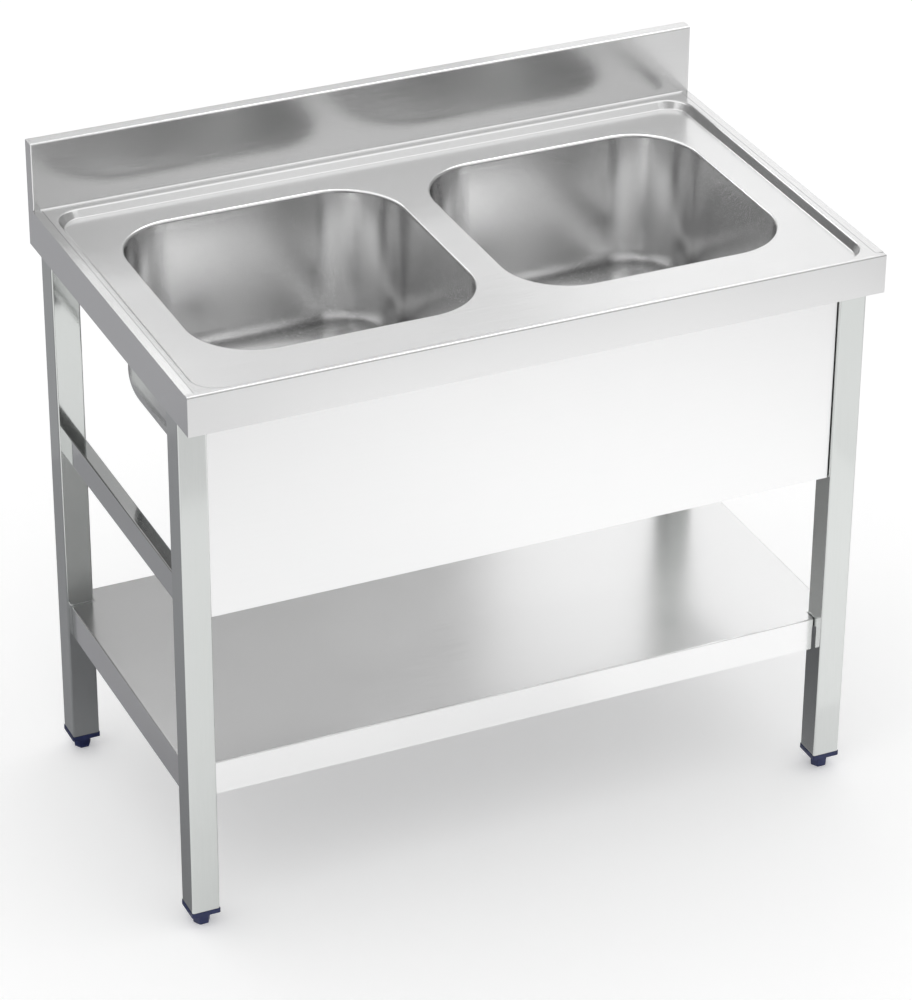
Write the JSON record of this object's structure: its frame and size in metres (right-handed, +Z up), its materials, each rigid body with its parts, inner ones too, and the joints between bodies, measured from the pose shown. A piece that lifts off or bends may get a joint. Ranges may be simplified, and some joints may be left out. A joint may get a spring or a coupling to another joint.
{
  "type": "double bowl sink with stand",
  "caption": "Free-standing stainless catering sink: worktop with splashback and sunken deck, square drawn bowls, front panel, square legs, undershelf and levelling feet.",
  "frame": {"origin": "on the floor, under the middle of the worktop", "axes": "+X to the right along the worktop, +Y from the front to the splashback, +Z up"},
  "size_m": [1, 0.6, 0.946],
  "materials": {
    "worktop_steel": "fine brushed stainless sheet, satin",
    "bowl_steel": "drawn stainless bowl, satin, slightly darker",
    "panel_steel": "fine brushed stainless sheet, satin",
    "shelf_steel": "fine brushed stainless sheet, satin",
    "leg_steel": "polished stainless square tube",
    "rail_steel": "polished stainless flat tube",
    "frame_steel": "plain mill finish",
    "fastener_steel": "plain stainless fasteners",
    "waste_steel": "polished",
    "nut_plastic": "black moulded plastic",
    "seal_rubber": "black rubber",
    "plug_rubber": "black rubber",
    "blue_plastic": "navy-blue moulded plastic"
  },
  "bodies": {
    "stand": {"bowl_left": "bowl_steel", "bowl_right": "bowl_steel", "channel_front": "frame_steel", "channel_left": "frame_steel", "channel_rear": "frame_steel", "channel_right": "frame_steel", "front_panel": "panel_steel", "leg_front_left": "leg_steel", "leg_front_right": "leg_steel", "leg_insert_front_left": "blue_plastic", "leg_insert_front_right": "blue_plastic", "leg_insert_rear_left": "blue_plastic", "leg_insert_rear_right": "blue_plastic", "leg_rear_left": "leg_steel", "leg_rear_right": "leg_steel", "panel_screws": "fastener_steel", "shelf_brackets": "frame_steel", "shelf_nuts": "fastener_steel", "shelf_rib": "frame_steel", "shelf_studs": "fastener_steel", "side_rail_left": "rail_steel", "side_rail_right": "rail_steel", "undershelf": "shelf_steel", "waste_gasket_left": "seal_rubber", "waste_gasket_right": "seal_rubber", "waste_nut_left": "nut_plastic", "waste_nut_right": "nut_plastic", "waste_outlet_left": "waste_steel", "waste_outlet_right": "waste_steel", "worktop": "worktop_steel", "worktop_nuts": "fastener_steel", "worktop_studs": "fastener_steel"},
    "foot_front_left": {"foot_front_left": "blue_plastic"},
    "foot_front_right": {"foot_front_right": "blue_plastic"},
    "foot_rear_left": {"foot_rear_left": "blue_plastic"},
    "foot_rear_right": {"foot_rear_right": "blue_plastic"},
    "plug_left": {"plug_left": "plug_rubber"},
    "plug_right": {"plug_right": "plug_rubber"}
  },
  "joints": [
    {"name": "foot_front_left_screw", "type": "slide", "parent": "stand", "child": "foot_front_left", "axis": [0, 0, -1], "range_m": [0, 0.025]},
    {"name": "foot_front_right_screw", "type": "slide", "parent": "stand", "child": "foot_front_right", "axis": [0, 0, -1], "range_m": [0, 0.025]},
    {"name": "foot_rear_left_screw", "type": "slide", "parent": "stand", "child": "foot_rear_left", "axis": [0, 0, -1], "range_m": [0, 0.025]},
    {"name": "foot_rear_right_screw", "type": "slide", "parent": "stand", "child": "foot_rear_right", "axis": [0, 0, -1], "range_m": [0, 0.025]},
    {"name": "plug_left_lift", "type": "slide", "parent": "stand", "child": "plug_left", "axis": [0, 0, 1], "range_m": [0, 0.12]},
    {"name": "plug_right_lift", "type": "slide", "parent": "stand", "child": "plug_right", "axis": [0, 0, 1], "range_m": [0, 0.12]}
  ]
}
